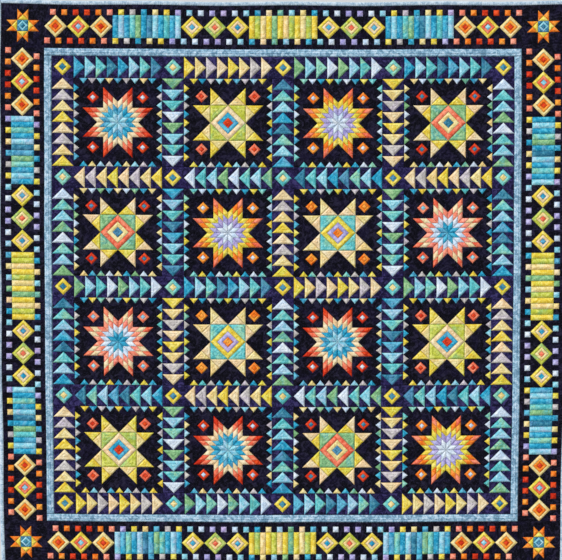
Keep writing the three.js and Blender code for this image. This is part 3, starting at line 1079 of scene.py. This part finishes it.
def binding(name, quarters):
    """One piece: a folded strip round the raw edge, slightly puckered, with mitred ends."""
    section = binding_section()
    out, height, place = section.T
    n = len(section)
    stations = round(2 * HALF / CELL)
    share = np.linspace(1, -1, stations + 1)[:, None]
    x = share * (out - SEAM_GAP)[None]
    y = np.broadcast_to(out, x.shape)
    raised_share = np.clip((height - FLAT) / (BINDING_THICK - FLAT), 0, 1)
    z = height + PUCKER * puckered(x) * raised_share
    laid_x, laid_y = lie(*turn((x, y), quarters))
    vertices = np.stack([laid_x, laid_y, z], axis=2).reshape(-1, 3) * MM
    faces = []
    for i, j in itertools.product(range(stations), range(n)):
        a = i * n + j
        b = i * n + (j + 1) % n
        faces.append((a, b, b + n, a + n))
    faces.append(tuple(reversed(range(n))))
    faces.append(tuple(range(stations * n, stations * n + n)))

    mesh = bpy.data.meshes.new(name)
    mesh.from_pydata(vertices.tolist(), [], faces)
    mesh.materials.append(MATERIALS["rim"])
    mesh.polygons.foreach_set("use_smooth", [True] * (len(faces) - 2) + [False] * 2)
    loops = np.empty(len(mesh.loops), np.int32)
    mesh.loops.foreach_get("vertex_index", loops)
    fields = {
        "seam": np.broadcast_to(place, x.shape),
        "row": np.broadcast_to((place - BINDING_LINE) / BINDING_SHADOW, x.shape),
        "along": x,
        "tone": np.full(x.shape, BINDING_TONE + BINDING_TONE_STEP * quarters),
    }
    write_fields(mesh, {label: values.ravel()[loops] for label, values in fields.items()})
    mesh.update()
    dress(name, mesh)


def make_blocks():
    for row, column in itertools.product(range(BLOCKS), repeat=2):
        centre = (FIRST + column * PITCH, -(FIRST + row * PITCH))
        colourway = row + column // 2
        if (row + column) % 2:
            patches = sawtooth_star(SAWTOOTH_COLOURS[colourway % len(SAWTOOTH_COLOURS)])
        else:
            patches = diamond_star(DIAMOND_COLOURS[colourway % len(DIAMOND_COLOURS)])
        quilted(f"star_block_r{row + 1}c{column + 1}", patches, BLOCK, BLOCK, centre)


def make_sashing():
    for row, column in itertools.product(range(BLOCKS), range(BLOCKS + 1)):
        centre = (FIRST - PITCH / 2 + column * PITCH, -(FIRST + row * PITCH))
        geese = flying_geese(FLOCKS[(row + column + 1) % len(FLOCKS)])
        quarters = 3 if column % 2 else 1
        quilted(f"sash_r{row + 1}_{column + 1}", geese, BLOCK, SASH, centre, quarters)
    for row in range(BLOCKS + 1):
        centre = (0.0, -(FIRST - PITCH / 2 + row * PITCH))
        quilted(f"sash_row_{row + 1}", sash_row(row), FIELD, SASH, centre)


def make_borders():
    for quarters, side in enumerate(SIDES):
        length = FIELD if quarters % 2 else INNER
        strip = narrow_border(length)
        centre = turn((0.0, (FIELD + NARROW) / 2), quarters)
        quilted(f"narrow_border_{side}", strip, length, NARROW, centre, quarters)
        strip = wide_border()
        centre = turn((0.0, (INNER + WIDE) / 2), quarters)
        quilted(f"wide_border_{side}", strip, INNER, WIDE, centre, quarters, "across")
        name = f"corner_block_{quarters + 1}"
        centre = turn((-(INNER + WIDE) / 2, (INNER + WIDE) / 2), quarters)
        quilted(name, corner_block(), WIDE, WIDE, centre, quarters, "across")
        binding(f"binding_{side}", quarters)


def make_stage():
    bpy.ops.mesh.primitive_plane_add(size=FLOOR_SIDE, location=(0, 0, -FLOOR_DROP))
    floor = bpy.context.object
    floor.name = "floor"
    paint = Graph("floor_paint").finished({"Base Color": linear(FLOOR_PAINT), "Roughness": 0.9})
    floor.data.materials.append(paint)


def make_light():
    sun = bpy.data.lights.new("window_light", "SUN")
    sun.energy = 2.85
    sun.angle = math.radians(LIGHT_ANGLE)
    linked("window_light", sun).rotation_euler = Euler([math.radians(angle) for angle in LIGHT_TURN])
    world = bpy.data.worlds.new("room")
    bpy.context.scene.world = world
    world.use_nodes = True
    background = world.node_tree.nodes["Background"]
    background.inputs["Color"].default_value = (0.93, 0.97, 1.0, 1.0)
    background.inputs["Strength"].default_value = 0.5
    bpy.context.scene.view_settings.view_transform = "Standard"


def make_camera():
    camera = bpy.data.cameras.new("camera")
    camera.lens = 66.0
    camera.sensor_width = 36.0
    holder = linked("camera", camera)
    holder.location = CAMERA_PLACE
    holder.rotation_euler = Euler([math.radians(angle) for angle in CAMERA_TURN])
    bpy.context.scene.camera = holder


MATERIALS = {name: cotton(name) for name in CLOTHS}
make_camera()
make_light()
make_stage()
make_blocks()
make_sashing()
make_borders()
